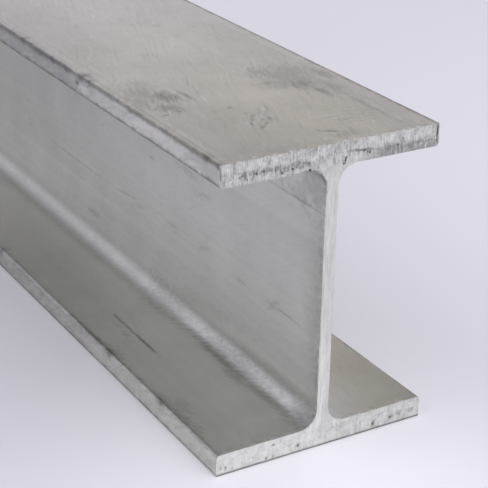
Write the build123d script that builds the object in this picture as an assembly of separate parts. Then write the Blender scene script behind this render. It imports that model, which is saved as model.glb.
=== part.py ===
from build123d import *
import os

# Aluminium I-beam: one extruded bar of structural stock, sawn square at both ends.
# It lies on its bottom flange, its length along Y, its flanges across X and its depth up Z.
# The origin is under the middle of the bar, on the plane that the bottom flange rests on.
# All lengths are millimetres, and the section is the four by three inch standard shape.

INCH = 25.4

# The section as the extrusion die cuts it.
SECTION_DEPTH = 4.0 * INCH
FLANGE_WIDTH = 3.0 * INCH
FLANGE_THICKNESS = 0.29 * INCH
WEB_THICKNESS = 0.17 * INCH
ROOT_FILLET_RADIUS = 0.25 * INCH

# A flange tip is soft where it turns to the inner face and nearly sharp at the outer face.
INNER_TIP_RADIUS = 3 / 64 * INCH
OUTER_TIP_RADIUS = 1 / 64 * INCH

# The bar is a two foot cut length.
STOCK_LENGTH = 24.0 * INCH


def plain_section():
    """Web and both flanges as one sharp-cornered face, centred on its two middle planes."""
    flange = Rectangle(FLANGE_WIDTH, FLANGE_THICKNESS)
    flange_height = (SECTION_DEPTH - FLANGE_THICKNESS) / 2
    web = Rectangle(WEB_THICKNESS, SECTION_DEPTH)
    return web + Pos(0, flange_height) * flange + Pos(0, -flange_height) * flange


def tip_corner_rows(section):
    """Corners at the flange tips, a left and a right one in each row, from the bottom up."""
    columns = section.vertices().group_by(Axis.X)
    return ShapeList(columns[0] + columns[-1]).group_by(Axis.Y)


def beam_section():
    """The section with its root fillets and rounded flange tips."""
    section = plain_section()
    left_tips, left_roots, right_roots, right_tips = section.vertices().group_by(Axis.X)
    section = fillet(left_roots + right_roots, ROOT_FILLET_RADIUS)
    outer_bottom, inner_bottom, inner_top, outer_top = tip_corner_rows(section)
    section = fillet(inner_bottom + inner_top, INNER_TIP_RADIUS)
    rows = tip_corner_rows(section)
    return fillet(rows[0] + rows[-1], OUTER_TIP_RADIUS)


def i_beam():
    """The section run out along the bar, half of the length each way from the origin."""
    standing_section = Plane.XZ * Pos(0, SECTION_DEPTH / 2) * beam_section()
    bar = extrude(standing_section, STOCK_LENGTH / 2, both=True)
    bar.label = "i_beam"
    return bar


os.makedirs("parts", exist_ok=True)
export_step(i_beam(), "parts/i_beam.step")
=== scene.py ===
from math import pi
import bpy
import numpy as np
from mathutils import Matrix, Vector
from mathutils.geometry import delaunay_2d_cdt


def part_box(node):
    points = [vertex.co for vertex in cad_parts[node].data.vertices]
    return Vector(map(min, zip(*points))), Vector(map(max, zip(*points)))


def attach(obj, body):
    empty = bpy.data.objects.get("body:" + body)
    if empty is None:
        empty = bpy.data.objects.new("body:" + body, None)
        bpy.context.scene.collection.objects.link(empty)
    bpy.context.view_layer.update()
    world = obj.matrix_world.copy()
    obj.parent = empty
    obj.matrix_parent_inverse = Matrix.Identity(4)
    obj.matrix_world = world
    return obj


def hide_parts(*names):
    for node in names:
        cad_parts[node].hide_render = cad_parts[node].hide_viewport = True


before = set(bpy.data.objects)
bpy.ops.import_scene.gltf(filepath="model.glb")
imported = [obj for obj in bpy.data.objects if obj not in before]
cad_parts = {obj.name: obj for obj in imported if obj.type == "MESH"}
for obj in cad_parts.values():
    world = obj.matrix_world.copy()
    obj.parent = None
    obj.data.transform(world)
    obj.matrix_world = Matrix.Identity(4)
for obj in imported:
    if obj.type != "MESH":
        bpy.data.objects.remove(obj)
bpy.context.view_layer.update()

# The bar is one aluminium extrusion, pushed hot through a die of this outline and stretched
# straight, then sawn off at both ends. The roots are filleted and the flange tips eased.
deg = pi / 180
bar_low, bar_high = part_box("i_beam")
front_end = bar_low.y
back_end = bar_high.y
bar_length = back_end - front_end
half_width = bar_high.x
bar_height = bar_high.z
half_web = 0.002159
foot_top = 0.007366
head_underside = bar_height - foot_top
root_radius = 0.00635
inner_tip_radius = 0.00119
outer_tip_radius = 0.0004

# Lines that rough spots in the die draw along the bar: place in the section, width and depth.
die_lines = [
    (-half_web, 0.0790, 0.00040, 0.00007),
    (-half_web, 0.0376, 0.00035, 0.00002),
    (half_web, 0.0655, 0.00040, 0.00005),
    (half_web, 0.0262, 0.00035, 0.00005),
    (0.0284, bar_height, 0.00030, 0.00003),
    (-0.0332, bar_height, 0.00030, 0.00003),
    (0.0140, 0.0, 0.00030, 0.00004),
]
# A gouge that a dragged load left along the foot.
gouge_x = -0.0238
gouge_start = front_end + 0.064
gouge_end = front_end + 0.101
gouge_width = 0.00042
gouge_depth = 0.00020
# Knocks on the flange tips and faces: place, reach and depth. The far half has random ones.
knocks = [
    ((-half_width, front_end + 0.0905, bar_height), 0.0024, 0.00030),
    ((-half_width, front_end + 0.0850, bar_height), 0.0012, 0.00020),
    ((-half_width, front_end + 0.0945, bar_height - 0.0036), 0.0011, 0.00018),
    ((-half_width, front_end + 0.0610, head_underside), 0.0013, 0.00022),
    ((-half_width, front_end + 0.0070, bar_height), 0.0010, 0.00014),
    ((-half_width, front_end + 0.1390, bar_height), 0.0017, 0.00020),
    ((-half_width, front_end + 0.0370, foot_top), 0.0013, 0.00020),
    ((-half_width, front_end + 0.0750, foot_top), 0.0014, 0.00020),
    ((-half_width, front_end + 0.1720, foot_top), 0.0017, 0.00022),
    ((half_width, front_end + 0.0240, bar_height), 0.0009, 0.00010),
    ((half_width, front_end + 0.0680, bar_height), 0.0012, 0.00008),
    ((half_width, front_end + 0.1330, foot_top), 0.0012, 0.00030),
]
chance = np.random.default_rng(24)
for y in np.linspace(0.28, 0.58, 6):
    side, level = chance.choice([-half_width, half_width]), chance.choice([bar_height, foot_top])
    knocks.append(((side, front_end + y, level), chance.uniform(0.0007, 0.0014), 0.00025))

# How far apart the outline's points lie on its flats, beside its corners, and at the least.
flat_step = 0.0034
corner_step = 0.0006
least_step = 0.0001


def close_steps(place, reach):
    """Places across a narrow mark, close enough together to shape it."""
    return place + reach * np.array([-2.0, -1.1, -0.5, 0.0, 0.5, 1.1, 2.0])


def spaced(places):
    """The places in order, without any that nearly touch the one before."""
    places = np.unique(places)
    return places[np.insert(np.diff(places) > least_step, 0, True)]


def die_outline():
    """Points anticlockwise round the die as the front end shows it, and which way each faces."""
    right_half = [
        (half_width, 0.0, outer_tip_radius, 5),
        (half_width, foot_top, inner_tip_radius, 7),
        (half_web, foot_top, root_radius, 13),
        (half_web, head_underside, root_radius, 13),
        (half_width, head_underside, inner_tip_radius, 7),
        (half_width, bar_height, outer_tip_radius, 5),
    ]
    corners = right_half + [(-x, z, radius, steps) for x, z, radius, steps in right_half[::-1]]
    lines = [(x, z, width) for x, z, width, _ in die_lines] + [(gouge_x, foot_top, gouge_width)]
    points, facing = [], []
    for i, (x, z, radius, steps) in enumerate(corners):
        next_x, next_z, next_radius, _ = corners[(i + 1) % len(corners)]
        corner, after = np.array([x, z]), np.array([next_x, next_z])
        before = np.array(corners[i - 1][:2])
        onto = (corner - before) / np.linalg.norm(corner - before)
        away = (after - corner) / np.linalg.norm(after - corner)
        out_before, out_after = np.array([onto[1], -onto[0]]), np.array([away[1], -away[0]])
        turn = np.linspace(0, pi / 2, steps)[:, None]
        arc_facing = np.cos(turn) * out_before + np.sin(turn) * out_after
        rounding = radius if onto[0] * away[1] > onto[1] * away[0] else -radius
        centre = corner - rounding * (out_before + out_after)
        points.append(centre + rounding * arc_facing)
        facing.append(arc_facing)
        start = corner + radius * away
        run = np.linalg.norm(after - start) - next_radius
        places = [np.linspace(0, run, round(run / flat_step) + 1), [corner_step, run - corner_step]]
        for line_x, line_z, width in lines:
            offset = np.array([line_x, line_z]) - start
            if abs(offset @ out_after) < 1e-5 and 0 < offset @ away < run:
                places.append(close_steps(offset @ away, width))
        places = spaced(np.concatenate(places))
        places = places[(places > least_step) & (places < run - least_step), None]
        points.append(start + places * away)
        facing.append(np.repeat(out_after[None], len(places), axis=0))
    return np.concatenate(points), np.concatenate(facing)


outline, facing = die_outline()
steps = np.hypot(*(np.roll(outline, -1, axis=0) - outline).T)
girth = np.concatenate([[0], np.cumsum(steps[:-1])])
all_round = steps.sum()

# Rows of points across the bar, close together at the saw cuts and at each mark, and closer
# along the near part, where most of the marks are, than along the rest.
from_saw = np.array([0, 0.00012, 0.0004, 0.0009, 0.0016])
saw_margin = 0.0028
near_part_end = front_end + 0.27
near_rows = np.linspace(front_end + saw_margin, near_part_end, 112)
far_rows = np.linspace(near_part_end, back_end - saw_margin, 86)
mark_rows = [close_steps(place[1], 0.6 * reach)[1:-1] for place, reach, _ in knocks]
mark_rows += [close_steps(gouge_start, 0.001), close_steps(gouge_end, 0.001)]
rows = spaced(np.concatenate([front_end + from_saw, back_end - from_saw, near_rows, far_rows]
                             + mark_rows))


def uneven(places, span, gap):
    """Smooth random values from 0 to 1 along a span, the same at its start and end."""
    knots = chance.random(round(span / gap) + 1)
    knots[-1] = knots[0]
    return np.interp(places, np.linspace(0, span, len(knots)), knots)


# How deep each point is sunk below the true face: by faint waves from the stretching, and by
# the die lines, the gouge and the knocks, which also hold grime.
along = rows - front_end
around = girth[:, None]
sink = np.zeros((len(outline), len(rows)))
wave_depth = 0.000002
for turns in [-13, -9, -6, -4, -3, -1, 1, 2, 4, 5, 7, 10, 12, 15]:
    per_metre = chance.uniform(3, 50)
    sink += wave_depth * (1 + np.sin(2 * pi * (turns * around / all_round + per_metre * along)
                                     + chance.uniform(0, 2 * pi)))
for x, z, width, depth in die_lines:
    off = np.hypot(outline[:, 0] - x, outline[:, 1] - z)
    line_depth = depth * (0.5 + 0.5 * uneven(along, bar_length, 0.03))
    sink += np.exp(-(off / width) ** 2)[:, None] * line_depth
off = np.hypot(outline[:, 0] - gouge_x, outline[:, 1] - foot_top)
scraped = np.clip(1.7 * uneven(along, bar_length, 0.005) - 0.4, 0.1, 1)
scraped[(rows <= gouge_start) | (rows >= gouge_end)] = 0
sink += np.exp(-(off / gouge_width) ** 2)[:, None] * gouge_depth * scraped

grime_and_shade = np.zeros_like(sink)
knock_grime = 0.22
sunk_grime = 0.5
grimy_depth = 0.00016
for (x, y, z), reach, depth in knocks:
    off = np.sqrt((outline[:, 0] - x)[:, None] ** 2 + (outline[:, 1] - z)[:, None] ** 2
                  + (rows - y) ** 2)
    dent = np.exp(-(off / reach) ** 2)
    sink += depth * dent
    grime_and_shade += knock_grime * dent
grime_and_shade += np.clip(sink / grimy_depth, 0, 1) * sunk_grime

# Painted shade darkens the left root under the head, right behind the cut.
root_x, root_z = -0.0063, 0.092
root_shade_length = 0.0012
in_root = (abs(outline[:, 0] - root_x) < 0.0042) & (abs(outline[:, 1] - root_z) < 0.006)
grime_and_shade[in_root] += 0.6 * np.exp(-(along / root_shade_length) ** 2)

# The saw leaves a ragged break round each end, and a burr that hangs from the inner edges.
even_break, ragged_break = 0.00003, 0.00008
burr_length = 0.0003
off_outside = 0.001
cut_break = even_break + ragged_break * uneven(girth, all_round, 0.0018) ** 2
inner_face = ((abs(outline[:, 0]) < half_width - outer_tip_radius)
              & (outline[:, 1] > off_outside) & (outline[:, 1] < bar_height - off_outside))
burr = np.clip(uneven(girth, all_round, 0.0016) - 0.55, 0, 1)
burr = np.where(inner_face, burr_length * burr, 0)
for end, beside in ((0, 1), (-1, -2)):
    sink[:, end] += cut_break - burr
    sink[:, beside] -= burr * 0.8

skin = np.empty((len(outline), len(rows), 3))
skin[..., 0] = outline[:, 0, None] - facing[:, 0, None] * sink
skin[..., 1] = rows
skin[..., 2] = outline[:, 1, None] - facing[:, 1, None] * sink


# Each sawn face is a flat skin of small triangles inside the outline, dimpled where the saw
# tore a grain out. Pits on the front one: place across and up, radius and depth.
front_pits = [
    (-0.0306, 0.0970, 0.00040, 0.00024), (-0.0261, 0.0969, 0.00045, 0.00026),
    (-0.0236, 0.0970, 0.00040, 0.00022), (-0.0198, 0.0968, 0.00036, 0.00020),
    (-0.0290, 0.0956, 0.00036, 0.00020), (-0.0174, 0.0954, 0.00050, 0.00030),
    (-0.0140, 0.0961, 0.00050, 0.00030), (-0.0080, 0.0946, 0.00060, 0.00050),
    (0.0045, 0.0964, 0.00050, 0.00035), (0.0042, 0.0954, 0.00045, 0.00035),
    (0.0038, 0.0946, 0.00045, 0.00030), (0.0113, 0.0976, 0.00045, 0.00025),
    (0.0128, 0.0966, 0.00050, 0.00026), (0.0229, 0.0972, 0.00045, 0.00025),
    (-0.0348, 0.0025, 0.00040, 0.00022), (-0.0203, 0.0013, 0.00040, 0.00024),
    (-0.0178, 0.0053, 0.00036, 0.00020), (-0.0088, 0.0025, 0.00045, 0.00026),
    (0.0197, 0.0023, 0.00050, 0.00030), (0.0266, 0.0028, 0.00045, 0.00026),
]
back_pits = [(chance.uniform(-0.036, 0.036), level + chance.uniform(0.0012, 0.0061),
              chance.uniform(0.0003, 0.0006), 0.0003)
             for level in (0.0, head_underside) for _ in range(14)]
torn_step = 0.00085
torn_scatter = 0.00022
torn_margin = 0.0003
ripple_depth = 0.000012


def sawn_face(edge, pits):
    """Points of a sawn face, the first outline point or inner point that each came from, how far
    each lies below the cut, its dirt, and the triangles."""
    grid = np.stack(np.meshgrid(np.arange(-half_width, half_width, torn_step),
                                np.arange(0, bar_height, torn_step)), axis=-1).reshape(-1, 2)
    grid += chance.uniform(-torn_scatter, torn_scatter, grid.shape)
    for x, z, radius, _ in pits:
        grid = grid[np.hypot(grid[:, 0] - x, grid[:, 1] - z) > 1.5 * radius]
    rings = np.array([(x + radius * share * np.cos(turn), z + radius * share * np.sin(turn))
                      for x, z, radius, _ in pits for share, count in ((0, 1), (0.5, 6), (1, 9))
                      for turn in np.linspace(0, 2 * pi, count, endpoint=False)])
    inner = np.concatenate([grid, rings])
    crossed = np.zeros(len(inner), dtype=int)
    nearest = np.full(len(inner), 1.0)
    for a, b in zip(edge, np.roll(edge, -1, axis=0)):
        side = b - a
        if side[1] != 0:
            between = (a[1] > inner[:, 1]) != (b[1] > inner[:, 1])
            crossed += between & (inner[:, 0] < a[0] + (inner[:, 1] - a[1]) * side[0] / side[1])
        share = np.clip((inner - a) @ side / (side @ side), 0, 1)[:, None]
        nearest = np.minimum(nearest, np.linalg.norm(inner - a - share * side, axis=1))
    inner = inner[(crossed % 2 == 1) & (nearest > torn_margin)]
    flat = [Vector(point) for point in np.concatenate([edge, inner])]
    joined, _, triangles, origins, _, _ = delaunay_2d_cdt(
        flat, [], [list(range(len(edge)))], 1, 1e-7)
    places = np.array([point[:] for point in joined])
    source = [same[0] for same in origins]
    x, z = places.T
    below = ripple_depth * (1 + np.sin(x / 0.0021) * np.sin(z / 0.019 + 1.3))
    dirt_and_shade = np.zeros(len(places))
    for pit_x, pit_z, radius, depth in pits:
        dimple = np.clip(1 - np.hypot(x - pit_x, z - pit_z) / radius, 0, 1)
        below += depth * dimple
        dirt_and_shade = np.maximum(dirt_and_shade, np.clip(1.6 * dimple, 0, 1))
    below[np.array(source) < len(edge)] = 0
    return places, source, below, dirt_and_shade, triangles


points = skin.reshape(-1, 3).tolist()
grime_and_shade = grime_and_shade.reshape(-1).tolist()
row_count = len(rows)
as_drawn, as_sawn = 0, 1
faces, finish = [], []
for i in range(len(outline)):
    beside = (i + 1) % len(outline)
    for j in range(row_count - 1):
        faces.append((i * row_count + j, i * row_count + j + 1,
                      beside * row_count + j + 1, beside * row_count + j))
        finish.append(as_drawn)
for row, inward, pits in ((0, 1, front_pits), (row_count - 1, -1, back_pits)):
    edge = skin[:, row][:, [0, 2]]
    places, source, below, dirt_and_shade, triangles = sawn_face(edge, pits)
    numbers = []
    for place, origin, depth, stain in zip(places, source, below, dirt_and_shade):
        if origin < len(edge):
            numbers.append(origin * row_count + row)
        else:
            numbers.append(len(points))
            points.append([place[0], rows[row] + inward * depth, place[1]])
            grime_and_shade.append(stain)
    for triangle in triangles:
        corners = [numbers[k] for k in triangle]
        faces.append(corners if inward == 1 else corners[::-1])
        finish.append(as_sawn)

bar_mesh = bpy.data.meshes.new("i_beam_bar")
bar_mesh.from_pydata(points, [], faces)
bar_mesh.attributes.new("grime_and_shade", "FLOAT", "POINT").data.foreach_set("value", grime_and_shade)
bar_mesh.polygons.foreach_set("material_index", finish)
bar_mesh.shade_smooth()
bar_mesh.set_sharp_from_angle(angle=32 * deg)
bar = bpy.data.objects.new("i_beam_bar", bar_mesh)
bpy.context.scene.collection.objects.link(bar)


# The bar's two finishes, as drawn and as sawn, are shader nodes placed by these functions.
def made_node(tree, kind, sockets, **settings):
    """A shader node with its settings, and its sockets set to values or linked to outputs."""
    made = tree.nodes.new(kind)
    for name, value in settings.items():
        setattr(made, name, value)
    for name, value in sockets.items():
        if isinstance(value, bpy.types.NodeSocket):
            tree.links.new(value, made.inputs[name])
        else:
            made.inputs[name].default_value = value
    return made


def reckon(tree, operation, first, second=0.0, clamp=False):
    """One sum on two values that change over the surface."""
    return made_node(tree, "ShaderNodeMath", {0: first, 1: second}, operation=operation,
                     use_clamp=clamp).outputs[0]


def times(tree, first, second, clamp=False):
    return reckon(tree, "MULTIPLY", first, second, clamp)


def less(tree, first, second, clamp=False):
    return reckon(tree, "SUBTRACT", first, second, clamp)


def summed(tree, total, *more):
    for value in more:
        total = reckon(tree, "ADD", total, value)
    return total


def strongest(tree, most, *others):
    for value in others:
        most = reckon(tree, "MAXIMUM", most, value)
    return most


def eased(tree, value, start, end, low=0.0, high=1.0):
    """The value's rise from start to end, spread smoothly from low to high."""
    return made_node(tree, "ShaderNodeMapRange",
                     {"Value": value, "From Min": start, "From Max": end, "To Min": low,
                      "To Max": high}, interpolation_type="SMOOTHSTEP").outputs["Result"]


def layered(tree, colour, layers):
    """A colour with others laid over it in turn, each by its share of the surface."""
    for share, over in layers:
        colour = made_node(tree, "ShaderNodeMix", {0: share, 6: colour, 7: (*over, 1)},
                           data_type="RGBA").outputs[2]
    return colour


def new_group(name, wanted, given):
    """An empty node group with its inputs and outputs."""
    group = bpy.data.node_groups.new(name, "ShaderNodeTree")
    for label, (kind, value) in wanted.items():
        socket = group.interface.new_socket(label, in_out="INPUT", socket_type=kind)
        socket.default_value = value
    for label in given:
        group.interface.new_socket(label, in_out="OUTPUT", socket_type="NodeSocketFloat")
    return group, group.nodes.new("NodeGroupInput"), group.nodes.new("NodeGroupOutput")


def object_place(tree):
    return tree.nodes.new("ShaderNodeTexCoord").outputs["Object"]


# Drawn grain: streaks that are fine across and long in one direction, as a die, a saw or a
# glove draws them.
grain_group, wants, gives = new_group(
    "drawn grain",
    {"Fineness": ("NodeSocketVector", (3000.0, 10.0, 3000.0)),
     "Turn": ("NodeSocketVector", (0.0, 0.0, 0.0)),
     "Roughness": ("NodeSocketFloat", 0.5),
     "Waver": ("NodeSocketFloat", 0.0)},
    ["Grain"])
waver = made_node(grain_group, "ShaderNodeTexNoise",
                  {"Vector": object_place(grain_group), "Scale": 40.0, "Detail": 1.0})
off_line = made_node(grain_group, "ShaderNodeVectorMath",
                     {0: waver.outputs["Color"], 1: (0.5, 0.5, 0.5)}, operation="SUBTRACT")
swayed = made_node(grain_group, "ShaderNodeVectorMath",
                   {0: off_line.outputs[0], "Scale": wants.outputs["Waver"]}, operation="SCALE")
moved = made_node(grain_group, "ShaderNodeVectorMath",
                  {0: object_place(grain_group), 1: swayed.outputs[0]}, operation="ADD")
turned = made_node(grain_group, "ShaderNodeVectorRotate",
                   {"Vector": moved.outputs[0], "Rotation": wants.outputs["Turn"]},
                   rotation_type="EULER_XYZ")
drawn = made_node(grain_group, "ShaderNodeVectorMath",
                  {0: turned.outputs[0], 1: wants.outputs["Fineness"]}, operation="MULTIPLY")
streaks = made_node(grain_group, "ShaderNodeTexNoise",
                    {"Vector": drawn.outputs[0], "Scale": 1.0, "Detail": 3.0,
                     "Roughness": wants.outputs["Roughness"]})
grain_group.links.new(streaks.outputs["Fac"], gives.inputs["Grain"])

# Rubbed mark: a smudge or scuff at one place, with a reach along each axis, torn into streaks.
mark_group, wants, gives = new_group(
    "rubbed mark",
    {"Place": ("NodeSocketVector", (0.0, 0.0, 0.0)),
     "Reach": ("NodeSocketVector", (0.01, 0.01, 0.01)),
     "Turn": ("NodeSocketVector", (0.0, 0.0, 0.0)),
     "Streaks": ("NodeSocketFloat", 0.5),
     "Torn": ("NodeSocketFloat", 1.0)},
    ["Mark"])
from_middle = made_node(mark_group, "ShaderNodeVectorMath",
                        {0: object_place(mark_group), 1: wants.outputs["Place"]},
                        operation="SUBTRACT")
turned = made_node(mark_group, "ShaderNodeVectorRotate",
                   {"Vector": from_middle.outputs[0], "Rotation": wants.outputs["Turn"]},
                   rotation_type="EULER_XYZ", invert=True)
share = made_node(mark_group, "ShaderNodeVectorMath",
                  {0: turned.outputs[0], 1: wants.outputs["Reach"]}, operation="DIVIDE")
distance = made_node(mark_group, "ShaderNodeVectorMath", {0: share.outputs[0]},
                     operation="LENGTH").outputs["Value"]
tear = times(mark_group, less(mark_group, wants.outputs["Streaks"], 0.5), wants.outputs["Torn"])
mark_group.links.new(eased(mark_group, less(mark_group, distance, tear), 1.0, 0.0),
                     gives.inputs["Mark"])


def grain(tree, fineness, turn=(0.0, 0.0, 0.0), roughness=0.5, waver=0.0):
    """Streaks with their fineness along each axis, turned, and swayed off their line."""
    return made_node(tree, "ShaderNodeGroup",
                     {"Fineness": fineness, "Turn": turn, "Roughness": roughness, "Waver": waver},
                     node_tree=grain_group).outputs["Grain"]


def rubbed_marks(tree, streaks, marks):
    """The strongest of several marks: place (along the bar it is measured from the front end),
    reach along each axis, turn, how torn, and strength."""
    most = 0.0
    for x, y, z, reach, turn, torn, strength in marks:
        mark = made_node(tree, "ShaderNodeGroup",
                         {"Place": (x, front_end + y, z), "Reach": reach, "Turn": turn,
                          "Streaks": streaks, "Torn": torn},
                         node_tree=mark_group).outputs["Mark"]
        most = strongest(tree, times(tree, mark, strength), most)
    return most


def cloud(tree, size, detail=3.0, roughness=0.5, seed=0.0):
    """Even cloudy noise with blotches about as large as size."""
    moved = made_node(tree, "ShaderNodeVectorMath", {0: object_place(tree), 1: (seed, seed, seed)},
                      operation="ADD").outputs[0]
    return made_node(tree, "ShaderNodeTexNoise",
                     {"Vector": moved, "Scale": 1 / size, "Detail": detail,
                      "Roughness": roughness}).outputs["Fac"]


# Mill finish: bare aluminium as the die leaves it, satin and streaked along the bar, with rub
# marks, faint stains, dirt in the lines and knocks, and scuffs from other stock. Its colour also
# holds painted shade: on faces that face up, high on upright faces, towards the top's left edge,
# along the edges, over the web and in the left root under the head.
mill = bpy.data.materials.new("mill_finish")
mill.use_nodes = True
tree = mill.node_tree
shader = tree.nodes["Principled BSDF"]
shader.inputs["Metallic"].default_value = 1.0

place = made_node(tree, "ShaderNodeSeparateXYZ", {"Vector": object_place(tree)})
across, along_bar, up = (place.outputs[axis] for axis in "XYZ")
facing_up = made_node(tree, "ShaderNodeSeparateXYZ", {
    "Vector": tree.nodes.new("ShaderNodeNewGeometry").outputs["Normal"]}).outputs["Z"]
lying = eased(tree, reckon(tree, "ABSOLUTE", facing_up), 0.6, 0.95)
upright = less(tree, 1.0, lying)
on_top = times(tree, eased(tree, up, 0.090, 0.096), lying)
on_tip = eased(tree, reckon(tree, "ABSOLUTE", across), half_width - 0.0008, half_width - 0.0003)

fine_lines = grain(tree, (2400.0, 8.0, 2400.0), roughness=0.6)
bands = grain(tree, (240.0, 2.5, 240.0), roughness=0.5)
drag_lines = grain(tree, (800.0, 60.0, 800.0), turn=(0, 0, 19 * deg), roughness=0.65, waver=0.004)
cross_rubs = grain(tree, (1500.0, 120.0, 1500.0), turn=(0, 0, 38 * deg), roughness=0.6, waver=0.012)
side_rubs = grain(tree, (700.0, 130.0, 700.0), turn=(19 * deg, 0, 0), roughness=0.6, waver=0.005)
streaks = grain(tree, (750.0, 170.0, 750.0), turn=(0, 0, 20 * deg), roughness=0.75, waver=0.005)
short_strokes = grain(tree, (1000.0, 230.0, 1000.0), turn=(0, 0, -30 * deg), roughness=0.65,
                      waver=0.003)
stain_cloud = cloud(tree, 0.030, 3.0, 0.55)
small_cloud = cloud(tree, 0.005, 4.0, 0.65, seed=0.31)

# Dark smudges from handling. The top has one on its right, one on its left, a whorl of short
# strokes between them, and a scrape at its front.
top = bar_height
top_smudges = [
    (0.0215, 0.0630, top, (0.0160, 0.0170, 0.004), (0, 0, 0), 2.0, 0.40),
    (0.0225, 0.0560, top, (0.0100, 0.0120, 0.004), (0, 0, 0), 2.6, 0.42),
    (0.0160, 0.0680, top, (0.0100, 0.0090, 0.004), (0, 0, 0), 3.4, 0.42),
    (0.0212, 0.0512, top, (0.0088, 0.0092, 0.004), (0, 0, 26 * deg), 1.8, 0.64),
    (0.0165, 0.0535, top, (0.0105, 0.0064, 0.004), (0, 0, 8 * deg), 2.2, 0.46),
    (0.0128, 0.0566, top, (0.0085, 0.0036, 0.004), (0, 0, -14 * deg), 2.0, 0.48),
    (0.0232, 0.0420, top, (0.0026, 0.0085, 0.004), (0, 0, 3 * deg), 2.0, 0.66),
    (0.0285, 0.0450, top, (0.0055, 0.0140, 0.004), (0, 0, 0), 3.0, 0.36),
    (0.0335, 0.0580, top, (0.0036, 0.0120, 0.004), (0, 0, 0), 2.0, 0.50),
    (0.0345, 0.0850, top, (0.0040, 0.0400, 0.004), (0, 0, 0), 4.0, 0.10),
    (-0.0290, 0.0640, top, (0.0105, 0.0180, 0.004), (0, 0, 0), 2.0, 0.48),
    (-0.0240, 0.0600, top, (0.0066, 0.0105, 0.004), (0, 0, 12 * deg), 1.6, 0.84),
    (-0.0174, 0.0580, top, (0.0017, 0.0095, 0.004), (0, 0, 3 * deg), 1.4, 0.70),
    (-0.0335, 0.0580, top, (0.0055, 0.0140, 0.004), (0, 0, 0), 2.4, 0.46),
    (-0.0280, 0.0500, top, (0.0064, 0.0080, 0.004), (0, 0, 30 * deg), 2.6, 0.64),
    (-0.0318, 0.0440, top, (0.0040, 0.0014, 0.004), (0, 0, 24 * deg), 1.2, 0.62),
    (-0.0268, 0.0456, top, (0.0032, 0.0013, 0.004), (0, 0, -38 * deg), 1.2, 0.66),
    (-0.0285, 0.0488, top, (0.0036, 0.0012, 0.004), (0, 0, 18 * deg), 1.2, 0.56),
    (-0.0250, 0.0740, top, (0.0075, 0.0095, 0.004), (0, 0, 0), 2.0, 0.27),
    (-0.0110, 0.0412, top, (0.0015, 0.0026, 0.004), (0, 0, -20 * deg), 1.0, 0.66),
    (-0.0170, 0.0400, top, (0.0040, 0.0030, 0.004), (0, 0, 0), 2.0, 0.22),
    (-0.0110, 0.0216, top, (0.0014, 0.0038, 0.004), (0, 0, -48 * deg), 0.9, 0.74),
    (-0.0126, 0.0254, top, (0.0011, 0.0036, 0.004), (0, 0, -24 * deg), 0.9, 0.66),
    (-0.0088, 0.0236, top, (0.0011, 0.0032, 0.004), (0, 0, -52 * deg), 0.9, 0.70),
    (-0.0106, 0.0284, top, (0.0010, 0.0038, 0.004), (0, 0, -18 * deg), 0.9, 0.64),
    (-0.0078, 0.0274, top, (0.0010, 0.0032, 0.004), (0, 0, -24 * deg), 0.9, 0.62),
    (-0.0052, 0.0276, top, (0.0012, 0.0040, 0.004), (0, 0, -20 * deg), 0.9, 0.70),
    (-0.0084, 0.0318, top, (0.0010, 0.0034, 0.004), (0, 0, -50 * deg), 0.9, 0.62),
    (-0.0060, 0.0328, top, (0.0008, 0.0024, 0.004), (0, 0, -30 * deg), 1.6, 0.46),
    (-0.0092, 0.0346, top, (0.0008, 0.0026, 0.004), (0, 0, -36 * deg), 1.6, 0.40),
    (-0.0040, 0.0362, top, (0.0007, 0.0036, 0.004), (0, 0, -32 * deg), 1.6, 0.40),
    (-0.0010, 0.0366, top, (0.0008, 0.0046, 0.004), (0, 0, -12 * deg), 1.6, 0.42),
    (-0.0140, 0.0226, top, (0.0009, 0.0020, 0.004), (0, 0, -10 * deg), 1.6, 0.40),
    (-0.0136, 0.0292, top, (0.0006, 0.0036, 0.004), (0, 0, -28 * deg), 1.6, 0.30),
    (-0.0085, 0.0275, top, (0.0060, 0.0100, 0.004), (0, 0, -32 * deg), 3.0, 0.30),
    (-0.0096, 0.0715, top, (0.0006, 0.0105, 0.004), (0, 0, -25 * deg), 1.8, 0.24),
    (-0.0068, 0.0745, top, (0.0006, 0.0090, 0.004), (0, 0, -22 * deg), 1.8, 0.20),
    (-0.0128, 0.0590, top, (0.0007, 0.0070, 0.004), (0, 0, -18 * deg), 1.8, 0.22),
    (0.0050, 0.0092, top, (0.0012, 0.0050, 0.004), (0, 0, 60 * deg), 1.6, 0.74),
    (0.0020, 0.0112, top, (0.0010, 0.0018, 0.004), (0, 0, 10 * deg), 1.2, 0.50),
    (0.0080, 0.0055, top, (0.0090, 0.0040, 0.004), (0, 0, 0), 3.0, 0.34),
    (-0.0150, 0.0030, top, (0.0220, 0.0060, 0.004), (0, 0, 0), 2.6, 0.24),
    (-0.0220, 0.0180, top, (0.0300, 0.0500, 0.004), (0, 0, 0), 1.0, 0.20),
    (-0.0280, 0.1500, top, (0.0240, 0.0750, 0.004), (0, 0, 0), 0.6, 0.14),
    (0.0105, 0.1325, top, (0.0020, 0.0035, 0.004), (0, 0, 0), 1.0, 0.22),
    (0.0034, 0.1375, top, (0.0018, 0.0035, 0.004), (0, 0, 0), 1.0, 0.22),
    (-0.0150, 0.1560, top, (0.0060, 0.0070, 0.004), (0, 0, 0), 1.0, 0.18),
    (0.0280, 0.0230, top, (0.0011, 0.0220, 0.004), (0, 0, 0), 2.8, 0.38),
    (0.0322, 0.0280, top, (0.0009, 0.0240, 0.004), (0, 0, 0), 3.0, 0.22),
]
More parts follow.
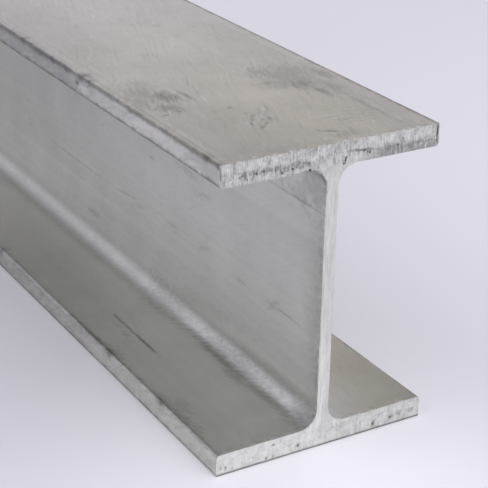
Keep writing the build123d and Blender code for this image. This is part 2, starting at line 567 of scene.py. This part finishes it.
# The web has a thin broken line along it, short marks beside that, and dull metal at the cut.
# Painted shade runs along it just above the lower left root and darkens its far part.
web_smudges_and_shade = [
    (-half_web, 0.2250, 0.0385, (0.002, 0.0095, 0.0110), (0, 0, 0), 3.0, 0.34),
    (-half_web, 0.1620, 0.0200, (0.002, 0.0090, 0.0028), (0, 0, 0), 2.0, 0.30),
    (-half_web, 0.2140, 0.0570, (0.002, 0.0260, 0.0060), (-10 * deg, 0, 0), 3.0, 0.24),
    (-half_web, 0.1980, 0.0520, (0.002, 0.0200, 0.0040), (-10 * deg, 0, 0), 3.0, 0.22),
    (-half_web, 0.1525, 0.0595, (0.002, 0.0022, 0.0018), (0, 0, 0), 0.8, 0.40),
    (-half_web, 0.1820, 0.0371, (0.002, 0.0500, 0.0006), (0, 0, 0), 2.2, 0.40),
    (-half_web, 0.1330, 0.0385, (0.002, 0.0140, 0.0008), (-5 * deg, 0, 0), 2.4, 0.32),
    (-half_web, 0.1220, 0.0375, (0.002, 0.0090, 0.0018), (-10 * deg, 0, 0), 3.0, 0.17),
    (-half_web, 0.0960, 0.0396, (0.002, 0.0080, 0.0012), (0, 0, 0), 3.0, 0.16),
    (-half_web, 0.0730, 0.0396, (0.002, 0.0060, 0.0014), (-20 * deg, 0, 0), 3.0, 0.18),
    (-half_web, 0.0480, 0.0378, (0.002, 0.0060, 0.0012), (0, 0, 0), 3.0, 0.16),
    (-half_web, 0.0270, 0.0388, (0.002, 0.0092, 0.0014), (-28 * deg, 0, 0), 3.0, 0.20),
    (-half_web, 0.0285, 0.0366, (0.002, 0.0060, 0.0010), (-28 * deg, 0, 0), 3.0, 0.18),
    (-half_web, 0.0200, 0.0380, (0.002, 0.0140, 0.0006), (0, 0, 0), 2.0, 0.38),
    (-half_web, 0.0120, 0.0793, (0.002, 0.0180, 0.0009), (0, 0, 0), 1.6, 0.38),
    # These two: painted shade along the web just above the lower left root.
    (-half_web, 0.0200, 0.0136, (0.002, 0.0560, 0.0036), (0, 0, 0), 1.2, 0.22),
    (-half_web, 0.0780, 0.0170, (0.002, 0.0500, 0.0060), (-8 * deg, 0, 0), 1.6, 0.12),
    (-half_web, 0.1120, 0.0600, (0.002, 0.0050, 0.0012), (0, 0, 0), 2.0, 0.30),
    (-half_web, 0.0740, 0.0590, (0.002, 0.0090, 0.0018), (-10 * deg, 0, 0), 2.6, 0.20),
    (-half_web, 0.0850, 0.0640, (0.002, 0.0130, 0.0022), (0, 0, 0), 3.0, 0.22),
    (-half_web, 0.0000, 0.0520, (0.002, 0.0140, 0.0600), (0, 0, 0), 0.8, 0.29),
    (-half_web, 0.0012, 0.0240, (0.002, 0.0006, 0.0120), (0, 0, 0), 1.0, 0.60),
    (-half_web, 0.0012, 0.0640, (0.002, 0.0006, 0.0140), (0, 0, 0), 1.4, 0.60),
    # Painted shade over the far part of the web.
    (-half_web, 0.2400, 0.0640, (0.002, 0.1700, 0.0700), (0, 0, 0), 0.2, 0.32),
]
# The foot is dull at the cut, along the gouge and at the far end, and has strokes by the root.
foot_smudges = [
    (-0.0120, 0.0050, foot_top, (0.0180, 0.0090, 0.004), (0, 0, 0), 1.6, 0.20),
    (-0.0130, 0.0200, foot_top, (0.0090, 0.0120, 0.004), (0, 0, 0), 0.8, 0.12),
    (-0.0237, 0.0810, foot_top, (0.0010, 0.0185, 0.004), (0, 0, 0), 2.4, 0.46),
    (0.0400, 0.0000, foot_top, (0.0400, 0.0750, 0.004), (0, 0, 0), 0.6, 0.34),
    (0.0150, 0.0640, foot_top, (0.0016, 0.0030, 0.004), (0, 0, 0), 0.8, 0.30),
    (0.0200, 0.0000, foot_top, (0.0280, 0.0240, 0.004), (0, 0, 0), 0.6, 0.16),
    (-0.0250, 0.1600, foot_top, (0.0300, 0.1300, 0.004), (0, 0, 0), 0.8, 0.16),
    (-0.0370, 0.0390, foot_top, (0.0018, 0.0028, 0.004), (0, 0, 0), 0.8, 0.60),
]
foot_strokes = [
    (-0.0066, 0.0520, foot_top, (0.0025, 0.0320, 0.004), (0, 0, -2 * deg), 1.0, 0.50),
    (-0.0070, 0.0240, foot_top, (0.0028, 0.0240, 0.004), (0, 0, 3 * deg), 0.8, 0.34),
    (-0.0084, 0.0390, foot_top, (0.0034, 0.0160, 0.004), (0, 0, 0), 2.0, 0.38),
    (-0.0360, 0.0280, foot_top, (0.0030, 0.0220, 0.004), (0, 0, 0), 3.0, 0.34),
    (-0.0330, 0.0310, foot_top, (0.0040, 0.0110, 0.004), (0, 0, 0), 3.0, 0.22),
    (-0.0358, 0.0750, foot_top, (0.0030, 0.0130, 0.004), (0, 0, 0), 3.0, 0.32),
    (-0.0268, 0.0850, foot_top, (0.0026, 0.0110, 0.004), (0, 0, -10 * deg), 3.4, 0.26),
    (-0.0212, 0.0880, foot_top, (0.0020, 0.0120, 0.004), (0, 0, -10 * deg), 3.4, 0.24),
]
smudges_and_shade = strongest(tree, rubbed_marks(tree, streaks, top_smudges + web_smudges_and_shade + foot_smudges),
                    rubbed_marks(tree, short_strokes, foot_strokes))

# Scuffs that other stock rubbed bright, on the top, the foot and the left flange tips.
scuffs = rubbed_marks(tree, streaks, [
    (0.0050, 0.1090, top, (0.0012, 0.0100, 0.004), (0, 0, -24 * deg), 2.6, 0.24),
    (0.0030, 0.1060, top, (0.0010, 0.0070, 0.004), (0, 0, -38 * deg), 2.6, 0.20),
    (0.0175, 0.1520, top, (0.0012, 0.0100, 0.004), (0, 0, -30 * deg), 2.6, 0.24),
    (0.0150, 0.1480, top, (0.0010, 0.0060, 0.004), (0, 0, -14 * deg), 2.6, 0.20),
    (-0.0082, 0.0722, top, (0.0007, 0.0100, 0.004), (0, 0, -25 * deg), 2.0, 0.28),
    (-0.0112, 0.0620, top, (0.0007, 0.0080, 0.004), (0, 0, -22 * deg), 2.0, 0.24),
    (-0.0052, 0.0780, top, (0.0006, 0.0080, 0.004), (0, 0, -22 * deg), 2.4, 0.20),
    (-0.0190, 0.0610, top, (0.0008, 0.0080, 0.004), (0, 0, 4 * deg), 1.4, 0.55),
    (-0.0140, 0.0520, top, (0.0010, 0.0060, 0.004), (0, 0, -10 * deg), 2.4, 0.34),
    (-0.0088, 0.0284, top, (0.0009, 0.0050, 0.004), (0, 0, -30 * deg), 1.0, 0.80),
    (-0.0112, 0.0266, top, (0.0008, 0.0036, 0.004), (0, 0, -30 * deg), 1.0, 0.70),
    (-0.0094, 0.0232, top, (0.0008, 0.0022, 0.004), (0, 0, -50 * deg), 1.0, 0.70),
    (-0.0064, 0.0300, top, (0.0008, 0.0034, 0.004), (0, 0, -20 * deg), 1.0, 0.70),
    (-0.0028, 0.0350, top, (0.0006, 0.0050, 0.004), (0, 0, -22 * deg), 1.0, 0.36),
    (0.0355, 0.0850, top, (0.0030, 0.0500, 0.004), (0, 0, 0), 5.0, 0.34),
    (0.0100, 0.0460, top, (0.0020, 0.0040, 0.004), (0, 0, -20 * deg), 2.0, 0.26),
    (-0.0350, 0.0250, top, (0.0014, 0.0260, 0.004), (0, 0, 0), 2.4, 0.30),
    (-0.0225, 0.0860, foot_top, (0.0012, 0.0130, 0.004), (0, 0, -8 * deg), 3.4, 0.30),
    (-0.0280, 0.2400, foot_top, (0.0200, 0.1100, 0.004), (0, 0, 0), 0.6, 1.00),
    (-half_width, 0.0400, 0.0985, (0.0010, 0.0220, 0.0030), (0, 0, 0), 2.2, 0.75),
    (-half_width, 0.0910, 0.0980, (0.0010, 0.0060, 0.0034), (0, 0, 0), 1.8, 0.75),
    (-half_width, 0.0900, 0.0040, (0.0010, 0.0500, 0.0020), (0, 0, 0), 3.4, 0.45),
])

# The flange tips are darkened in streaks, most of all along the far part of the head.
dark_tips = rubbed_marks(tree, small_cloud, [
    (-half_width, 0.0060, 0.0980, (0.0012, 0.0180, 0.0080), (0, 0, 0), 2.6, 0.35),
    (-half_width, 0.0700, 0.0980, (0.0012, 0.0200, 0.0080), (0, 0, 0), 2.6, 0.25),
    (-half_width, 0.1100, 0.0037, (0.0012, 0.2500, 0.0080), (0, 0, 0), 2.0, 0.34),
])
tip_darkening = summed(
    tree, eased(tree, side_rubs, 0.36, 0.62, 0.40, 0.0),
    times(tree, eased(tree, along_bar, front_end + 0.074, front_end + 0.104),
          eased(tree, up, 0.05, 0.06, 0.34, 0.80)))
dark_tips = strongest(tree, dark_tips, times(tree, on_tip, tip_darkening))

# The lower left root is rubbed dull in places, and the top and the right of the foot are
# stained tan.
root_rubs = rubbed_marks(tree, short_strokes, [
    (-0.0042, 0.0460, foot_top + 0.0022, (0.0052, 0.0460, 0.0052), (0, 0, 0), 1.6, 0.46),
    (-0.0042, 0.0000, foot_top + 0.0022, (0.0070, 0.0220, 0.0070), (0, 0, 0), 1.0, 0.70),
    (-0.0042, 0.0950, foot_top + 0.0022, (0.0080, 0.0400, 0.0080), (0, 0, 0), 1.8, 0.40),
    (-0.0046, 0.2100, foot_top + 0.0018, (0.0074, 0.2600, 0.0074), (0, 0, 0), 0.8, 0.38),
    (-0.0026, 0.0500, foot_top + 0.0054, (0.0030, 0.1200, 0.0030), (0, 0, 0), 0.8, 0.34),
])
tan_stain = rubbed_marks(tree, stain_cloud, [
    (0.0000, 0.0300, top, (0.0950, 0.1300, 0.0022), (0, 0, -10 * deg), 0.5, 1.0),
    (0.0260, 0.0500, foot_top, (0.0300, 0.1400, 0.004), (0, 0, 0), 0.8, 1.0),
])
brown_stain = rubbed_marks(tree, stain_cloud, [
    (0.0380, 0.0100, foot_top, (0.0340, 0.0900, 0.004), (0, 0, 0), 0.6, 0.60),
    (-half_width, 0.1400, 0.0037, (0.0040, 0.3000, 0.0090), (0, 0, 0), 0.6, 0.28),
])

# Dark lines along the edges of both flanges, partly dirt and partly painted shade: dark reflections
# on the rounded edges, shade in the corners and under the head by the cut, and a contact shadow
# along the bottom edges. Some of it runs the whole length: from the middle of the bar, with a reach
# far past both ends.
middle = bar_length / 2
far_past = 3.0
edge_dirt_and_shade = rubbed_marks(tree, small_cloud, [
    (-half_width, middle, top - 0.0006, (0.0010, far_past, 0.0015), (0, 0, 0), 1.6, 0.62),
    (-half_width + 0.0019, middle, top, (0.0009, far_past, 0.0006), (0, 0, 0), 3.4, 0.22),
    (-half_width, 0.1180, top - 0.0008, (0.0018, 0.0360, 0.0018), (0, 0, 0), 1.6, 0.90),
    (-half_width, 0.1900, top - 0.0008, (0.0018, 0.0700, 0.0018), (0, 0, 0), 1.6, 0.80),
    (-half_width, 0.0000, top - 0.0004, (0.0014, 0.0450, 0.0014), (0, 0, 0), 1.8, 0.70),
    (-half_width + 0.0003, middle, head_underside + 0.0007, (0.0012, far_past, 0.0014), (0, 0, 0),
     1.8, 0.70),
    (-half_width + 0.0004, middle, foot_top, (0.0014, far_past, 0.0012), (0, 0, 0), 1.2, 0.42),
    (-half_width + 0.0006, 0.0850, foot_top, (0.0018, 0.0500, 0.0013), (0, 0, 0), 1.6, 0.74),
    (-half_width, middle, 0.0002, (0.0011, far_past, 0.0014), (0, 0, 0), 1.0, 0.66),
    (-half_web, 0.0070, 0.0850, (0.0030, 0.0150, 0.0080), (0, 0, 0), 4.0, 0.26),
    (half_width, middle, top, (0.0021, far_past, 0.0012), (0, 0, 0), 1.4, 0.74),
    (half_width, middle, head_underside, (0.0012, far_past, 0.0012), (0, 0, 0), 1.8, 0.50),
    (half_width, middle, foot_top, (0.0019, far_past, 0.0012), (0, 0, 0), 1.4, 0.74),
    (half_width, middle, 0.0, (0.0012, far_past, 0.0012), (0, 0, 0), 1.8, 0.50),
])
grime_and_shade_here = made_node(tree, "ShaderNodeAttribute", {}, attribute_name="grime_and_shade").outputs["Fac"]
dirt_and_shade = times(tree, grime_and_shade_here, eased(tree, small_cloud, 0.25, 0.60, 0.60, 1.0))

# Shallow curved lines across the right front of the top, where a load was turned on it.
off_centre = made_node(tree, "ShaderNodeVectorMath", {
    0: object_place(tree), 1: (0.0190, front_end + 0.0700, top)}, operation="SUBTRACT")
curves = made_node(tree, "ShaderNodeTexWave", {
    "Vector": off_centre.outputs[0], "Scale": 95.0, "Distortion": 9.0, "Detail": 2.0,
    "Detail Scale": 1.2, "Detail Roughness": 0.6},
    wave_type="RINGS", rings_direction="SPHERICAL").outputs["Fac"]
turned_load = times(tree, eased(tree, curves, 0.50, 0.95), rubbed_marks(tree, streaks, [
    (0.0190, 0.0180, top, (0.0170, 0.0110, 0.004), (0, 0, 0), 3.0, 0.36)]))

# Bright and dark drag lines all over the top, and faint ones up the sides.
bright_lines = times(tree, eased(tree, drag_lines, 0.56, 0.72),
                     eased(tree, stain_cloud, 0.40, 0.60, 0.12, 0.36))
bright_rubs = strongest(tree, times(tree, bright_lines, on_top), scuffs)
dark_lines = times(tree, eased(tree, cross_rubs, 0.62, 0.74),
                   eased(tree, stain_cloud, 0.60, 0.40, 0.04, 0.26))
dark_rubs = strongest(
    tree, times(tree, dark_lines, on_top), turned_load,
    times(tree, on_top, eased(tree, drag_lines, 0.46, 0.28, 0.0, 0.25)),
    times(tree, eased(tree, side_rubs, 0.52, 0.30, 0.0, 0.07), upright))

# Fine lines show most along the right of the top; the web and the foot are smoother.
line_share = summed(tree, 0.10, times(tree, on_top, eased(tree, across, 0.004, 0.030, 0.00, 0.26)))
line_share = times(tree, line_share, eased(tree, fine_lines, 0.30, 0.70, 1.0, 0.0))
cloud_share = summed(tree, 0.02, times(tree, on_top, 0.07))

# The saw drags a bright ragged burr up over the edge and leaves dirt behind it.
from_cut = less(tree, bar_length / 2, reckon(tree, "ABSOLUTE", along_bar))
chips = cloud(tree, 0.0024, 4.0, 0.75, seed=0.77)
burr_dirt = times(tree, eased(tree, from_cut, 0.0060, 0.0008),
                  eased(tree, chips, 0.46, 0.66, 0.0, 0.30))
ragged_edge = summed(tree, from_cut, times(tree, chips, 0.014))
burr_edge = times(tree, eased(tree, ragged_edge, 0.0072, 0.0058),
                  eased(tree, up, 0.085, 0.095, 0.30, 0.62))

colour = layered(tree, (0.812, 0.826, 0.768, 1), [
    # Painted shade: faces that face up get a darker base than upright ones.
    (eased(tree, facing_up, 0.5, 0.95), (0.640, 0.650, 0.612)),
    # Painted shade: upright faces grow darker towards the top.
    (times(tree, upright, eased(tree, up, 0.015, 0.075, 0.0, 0.15)), (0.32, 0.32, 0.29)),
    (on_top, (0.602, 0.586, 0.515)),
    (tan_stain, (0.600, 0.570, 0.446)),
    (brown_stain, (0.500, 0.458, 0.340)),
    (times(tree, cloud_share, eased(tree, stain_cloud, 0.42, 0.72)), (0.40, 0.39, 0.34)),
    (eased(tree, bands, 0.35, 0.65, 0.0, 0.12), (0.42, 0.42, 0.39)),
    (line_share, (0.36, 0.36, 0.33)),
    (times(tree, cloud_share, eased(tree, small_cloud, 0.50, 0.75)), (0.36, 0.36, 0.32)),
    # Painted shade: the top grows darker towards its left edge.
    (times(tree, on_top, eased(tree, across, 0.010, -0.036, 0.0, 0.28)), (0.38, 0.37, 0.33)),
    (dark_tips, (0.40, 0.40, 0.38)),
    (bright_rubs, (0.775, 0.768, 0.735)),
    (dark_rubs, (0.30, 0.29, 0.24)),
    (root_rubs, (0.34, 0.34, 0.32)),
    # Smudges, with the painted shade on the web.
    (smudges_and_shade, (0.20, 0.20, 0.165)),
    # Edge dirt, with painted shade and dark reflections along the edges.
    (edge_dirt_and_shade, (0.12, 0.12, 0.10)),
    # Dirt in the dents and lines, with the painted shade in the left root under the head.
    (times(tree, dirt_and_shade, 0.9, clamp=True), (0.06, 0.06, 0.050)),
    (burr_dirt, (0.24, 0.24, 0.20)),
    (burr_edge, (0.86, 0.855, 0.80)),
])
tree.links.new(colour, shader.inputs["Base Color"])

gloss = summed(tree, eased(tree, stain_cloud, 0.35, 0.68, 0.41, 0.425),
               eased(tree, fine_lines, 0.3, 0.7, -0.03, 0.05),
               times(tree, bright_rubs, 0.10), times(tree, root_rubs, 0.40))
tree.links.new(gloss, shader.inputs["Roughness"])

height = summed(tree, fine_lines, times(tree, bands, 1.6),
                times(tree, on_top, times(tree, summed(tree, streaks, small_cloud), 0.6)),
                times(tree, bright_rubs, -0.8), times(tree, dark_rubs, -0.8),
                times(tree, root_rubs, -1.6))
bumps = made_node(tree, "ShaderNodeBump", {"Strength": 1.0, "Distance": 0.00001, "Height": height})
tree.links.new(bumps.outputs["Normal"], shader.inputs["Normal"])

# Sawn face: bright fresh metal, drawn up and down by the blade's teeth and torn in grey specks,
# most of all in the flanges.
sawn = bpy.data.materials.new("sawn_face")
sawn.use_nodes = True
tree = sawn.node_tree
shader = tree.nodes["Principled BSDF"]
shader.inputs["Metallic"].default_value = 1.0

tooth_lines = grain(tree, (1300.0, 1.0, 110.0), roughness=0.7)
broad_lines = grain(tree, (420.0, 1.0, 45.0), turn=(0, 2 * deg, 0), roughness=0.5)
ticks = grain(tree, (2000.0, 1.0, 330.0), turn=(0, 3 * deg, 0), roughness=0.7)
torn = cloud(tree, 0.0011, 4.0, 0.7, seed=0.13)
mottle = cloud(tree, 0.0032, 3.0, 0.6, seed=0.57)
place = made_node(tree, "ShaderNodeSeparateXYZ", {"Vector": object_place(tree)})
across, up = place.outputs["X"], place.outputs["Z"]
from_middle = reckon(tree, "ABSOLUTE", less(tree, up, bar_height / 2))
in_flange = eased(tree, from_middle, 0.0405, 0.0450)
in_head = eased(tree, up, 0.0900, 0.0960)
in_left_foot = times(tree, eased(tree, across, 0.006, -0.012), eased(tree, up, 0.0115, 0.0070))

# Black tears at the head's tips and beside the web, and softer ones elsewhere.
black_tears = rubbed_marks(tree, torn, [
    (0.0373, 0.0, 0.0988, (0.0006, 0.01, 0.0042), (0, 0, 0), 0.6, 1.0),
    (-0.0377, 0.0, 0.0985, (0.0004, 0.01, 0.0040), (0, 0, 0), 0.8, 0.7),
    (0.0042, 0.0, 0.0955, (0.0005, 0.01, 0.0018), (0, 12 * deg, 0), 0.6, 0.9),
    (-0.0078, 0.0, 0.0938, (0.0014, 0.01, 0.0009), (0, 0, 0), 0.8, 1.0),
    (0.0100, 0.0, 0.0978, (0.0060, 0.01, 0.0007), (0, 5 * deg, 0), 1.8, 0.7),
    (0.0121, 0.0, 0.0970, (0.0012, 0.01, 0.0012), (0, 0, 0), 1.8, 0.6),
])
soft_tears = rubbed_marks(tree, torn, [
    (0.0199, 0.0, 0.0024, (0.0011, 0.01, 0.0019), (0, 0, 0), 1.8, 0.66),
    (0.0267, 0.0, 0.0028, (0.0014, 0.01, 0.0016), (0, 0, 0), 1.8, 0.60),
    (0.0299, 0.0, 0.0034, (0.0018, 0.01, 0.0014), (0, 0, 0), 2.4, 0.50),
    (0.0345, 0.0, 0.0033, (0.0020, 0.01, 0.0014), (0, 0, 0), 2.4, 0.50),
    (0.0225, 0.0, 0.0050, (0.0030, 0.01, 0.0008), (0, 0, 0), 2.4, 0.24),
    (0.0080, 0.0, 0.0050, (0.0050, 0.01, 0.0016), (0, 0, 0), 2.4, 0.20),
    (-0.0088, 0.0, 0.0026, (0.0014, 0.01, 0.0015), (0, 0, 0), 1.8, 0.55),
    (-0.0178, 0.0, 0.0054, (0.0013, 0.01, 0.0008), (0, 0, 0), 1.6, 0.45),
    (-0.0178, 0.0, 0.0013, (0.0008, 0.01, 0.0011), (0, 0, 0), 1.6, 0.50),
    (-0.0203, 0.0, 0.0014, (0.0008, 0.01, 0.0010), (0, 0, 0), 1.6, 0.45),
    (-0.0366, 0.0, 0.0026, (0.0007, 0.01, 0.0011), (0, 0, 0), 1.6, 0.50),
    (-0.0349, 0.0, 0.0018, (0.0008, 0.01, 0.0009), (0, 0, 0), 1.6, 0.45),
    (-0.0325, 0.0, 0.0017, (0.0009, 0.01, 0.0008), (0, 0, 0), 1.6, 0.35),
    (0.0300, 0.0, 0.0966, (0.0085, 0.01, 0.0012), (0, -2 * deg, 0), 2.4, 0.55),
    (-0.0220, 0.0, 0.0973, (0.0110, 0.01, 0.0011), (0, 0, 0), 2.4, 0.50),
    (-0.0138, 0.0, 0.0960, (0.0012, 0.01, 0.0012), (0, 0, 0), 1.6, 0.60),
])

# A patchy row of pits along the head's left half, fading out above and below its level, and
# torn metal low in its right half.
pit_level = 0.0969
fade_per_metre = 560.0
off_level = reckon(tree, "ABSOLUTE", less(tree, up, pit_level))
pit_row = less(tree, 1.0, times(tree, off_level, fade_per_metre), clamp=True)
pit_row = times(tree, pit_row, eased(tree, mottle, 0.36, 0.52, 0.25, 1.0))
pit_row = times(tree, pit_row, times(tree, eased(tree, across, -0.035, -0.030),
                                     eased(tree, across, -0.004, -0.012)))
low_right = times(tree, eased(tree, up, 0.0988, 0.0966),
                  times(tree, in_head, eased(tree, across, 0.010, 0.020)))
torn_lines = summed(tree, times(tree, torn, 0.5), times(tree, tooth_lines, 0.5))
crumbled = times(tree, in_flange, eased(tree, mottle, 0.42, 0.62))
speck_share = summed(tree, 0.02, times(tree, crumbled, eased(tree, up, 0.05, 0.06, 0.24, 0.50)))
specks = strongest(
    tree, times(tree, eased(tree, torn, 0.54, 0.66), speck_share), soft_tears,
    times(tree, eased(tree, pit_row, 0.0, 0.6), eased(tree, torn_lines, 0.44, 0.58, 0.14, 0.78)),
    times(tree, low_right, eased(tree, torn_lines, 0.40, 0.58, 0.12, 0.72)))
chipping = summed(tree, times(tree, torn, 0.35),
                  summed(tree, times(tree, mottle, 0.25), times(tree, tooth_lines, 0.4)))
white_chips = times(tree, in_flange, eased(tree, chipping, 0.52, 0.38, 0.0, 0.55))
pits = made_node(tree, "ShaderNodeAttribute", {}, attribute_name="grime_and_shade").outputs["Fac"]
# Painted contact shadow along the bottom edge of the sawn face.
painted_contact_shadow = times(tree, eased(tree, up, 0.0010, 0.0002), 0.75)

colour = layered(tree, (0.830, 0.838, 0.777, 1), [
    (times(tree, eased(tree, tooth_lines, 0.36, 0.62, 1.0, 0.0),
           eased(tree, in_flange, 0.0, 1.0, 0.40, 0.58)), (0.475, 0.480, 0.452)),
    (eased(tree, broad_lines, 0.40, 0.62, 0.0, 0.24), (0.54, 0.545, 0.51)),
    (times(tree, crumbled, 0.30), (0.54, 0.545, 0.515)),
    (times(tree, in_head, eased(tree, mottle, 0.35, 0.65, 0.24, 0.42)), (0.46, 0.465, 0.435)),
    (times(tree, in_head, eased(tree, ticks, 0.52, 0.66, 0.0, 0.62)), (0.27, 0.275, 0.26)),
    (times(tree, in_head, eased(tree, ticks, 0.46, 0.34, 0.0, 0.50)), (0.92, 0.925, 0.87)),
    (times(tree, in_left_foot, 0.36), (0.88, 0.885, 0.83)),
    (white_chips, (0.97, 0.975, 0.92)),
    (specks, (0.20, 0.20, 0.19)),
    # Dirt in the pits, black tears, and the painted contact shadow.
    (strongest(tree, pits, black_tears, painted_contact_shadow), (0.06, 0.06, 0.055)),
])
tree.links.new(colour, shader.inputs["Base Color"])
tree.links.new(eased(tree, mottle, 0.3, 0.7, 0.48, 0.60), shader.inputs["Roughness"])
height = less(tree, summed(tree, times(tree, tooth_lines, 1.5),
                           times(tree, times(tree, torn, in_flange), 1.5)), specks)
bumps = made_node(tree, "ShaderNodeBump", {"Strength": 1.0, "Distance": 0.00008, "Height": height})
tree.links.new(bumps.outputs["Normal"], shader.inputs["Normal"])

bar_mesh.materials.append(mill)
bar_mesh.materials.append(sawn)
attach(bar, "root")
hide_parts("i_beam")

# The studio: a pale paper floor that runs back out of sight. Its colour holds painted light: it
# grows darker towards the back, a painted shadow darkens it left of the bar, and a painted pool of
# light makes it palest just before the bar.
floor_reach = 6
floor_mesh = bpy.data.meshes.new("studio_floor")
floor_mesh.from_pydata([(-floor_reach, -floor_reach, 0), (floor_reach, -floor_reach, 0),
                        (floor_reach, floor_reach, 0), (-floor_reach, floor_reach, 0)],
                       [], [(0, 1, 2, 3)])
floor = bpy.data.objects.new("studio_floor", floor_mesh)
bpy.context.scene.collection.objects.link(floor)
paper = bpy.data.materials.new("studio_paper")
paper.use_nodes = True
tree = paper.node_tree
paper_shader = tree.nodes["Principled BSDF"]
place = made_node(tree, "ShaderNodeSeparateXYZ", {"Vector": object_place(tree)})
from_painted_light = made_node(tree, "ShaderNodeVectorMath", {
    0: object_place(tree), 1: (-0.025, front_end - 0.020, 0)},
    operation="DISTANCE").outputs["Value"]
colour = layered(tree, (0.785, 0.785, 0.780, 1), [
    # Painted falloff of light towards the back.
    (eased(tree, place.outputs["Y"], front_end + 0.06, front_end + 0.45), (0.705, 0.705, 0.700)),
    # Painted shadow to the left of the bar.
    (eased(tree, place.outputs["X"], 0.0, -0.08, 0.0, 0.7), (0.72, 0.72, 0.725)),
    # Painted pool of light just before the bar.
    (eased(tree, from_painted_light, 0.125, 0.015), (0.955, 0.955, 0.945)),
])
tree.links.new(colour, paper_shader.inputs["Base Color"])
paper_shader.inputs["Roughness"].default_value = 0.7
floor_mesh.materials.append(paper)

# Soft cool light from all round, strongest from the front and from the left. Each broad glow is
# given by its compass turn from the back, its height, its spread and its strength.
world = bpy.data.worlds.new("studio_air")
bpy.context.scene.world = world
world.use_nodes = True
tree = world.node_tree
looking = tree.nodes.new("ShaderNodeTexCoord").outputs["Generated"]
glow = 0.01
for turn, height, spread, strength in [
        (110, 50, 60, 0.82), (135, 65, 50, 0.67), (180, 20, 50, 1.14), (270, 45, 50, 1.08),
        (325, 25, 50, 0.43), (0, 6, 45, 0.83), (50, 10, 50, 0.67)]:
    toward = (np.sin(turn * deg) * np.cos(height * deg), np.cos(turn * deg) * np.cos(height * deg),
              np.sin(height * deg))
    nearness = made_node(tree, "ShaderNodeVectorMath", {0: looking, 1: toward},
                         operation="DOT_PRODUCT").outputs["Value"]
    glow = summed(tree, glow, eased(tree, nearness, np.cos(spread * deg), 1.0, 0.0, strength))
tree.nodes["Background"].inputs["Color"].default_value = (0.975, 0.953, 1.072, 1)
tree.links.new(glow, tree.nodes["Background"].inputs["Strength"])

# Camera: close to the front left corner, looking down along the bar, and rolled a little.
camera_lens = bpy.data.cameras.new("camera")
camera = bpy.data.objects.new("camera", camera_lens)
bpy.context.scene.collection.objects.link(camera)
bpy.context.scene.camera = camera
camera_lens.sensor_width = 36
camera_lens.lens = 109.78
turn_right = 30.894
look_down = 24.103
roll = 1.104
camera.location = (-0.22930, front_end - 0.33349, 0.24990)
camera.rotation_euler = (Matrix.Rotation(-turn_right * deg, 3, "Z")
                         @ Matrix.Rotation((90 - look_down) * deg, 3, "X")
                         @ Matrix.Rotation(roll * deg, 3, "Z")).to_euler()
bpy.context.scene.view_settings.view_transform = "Standard"
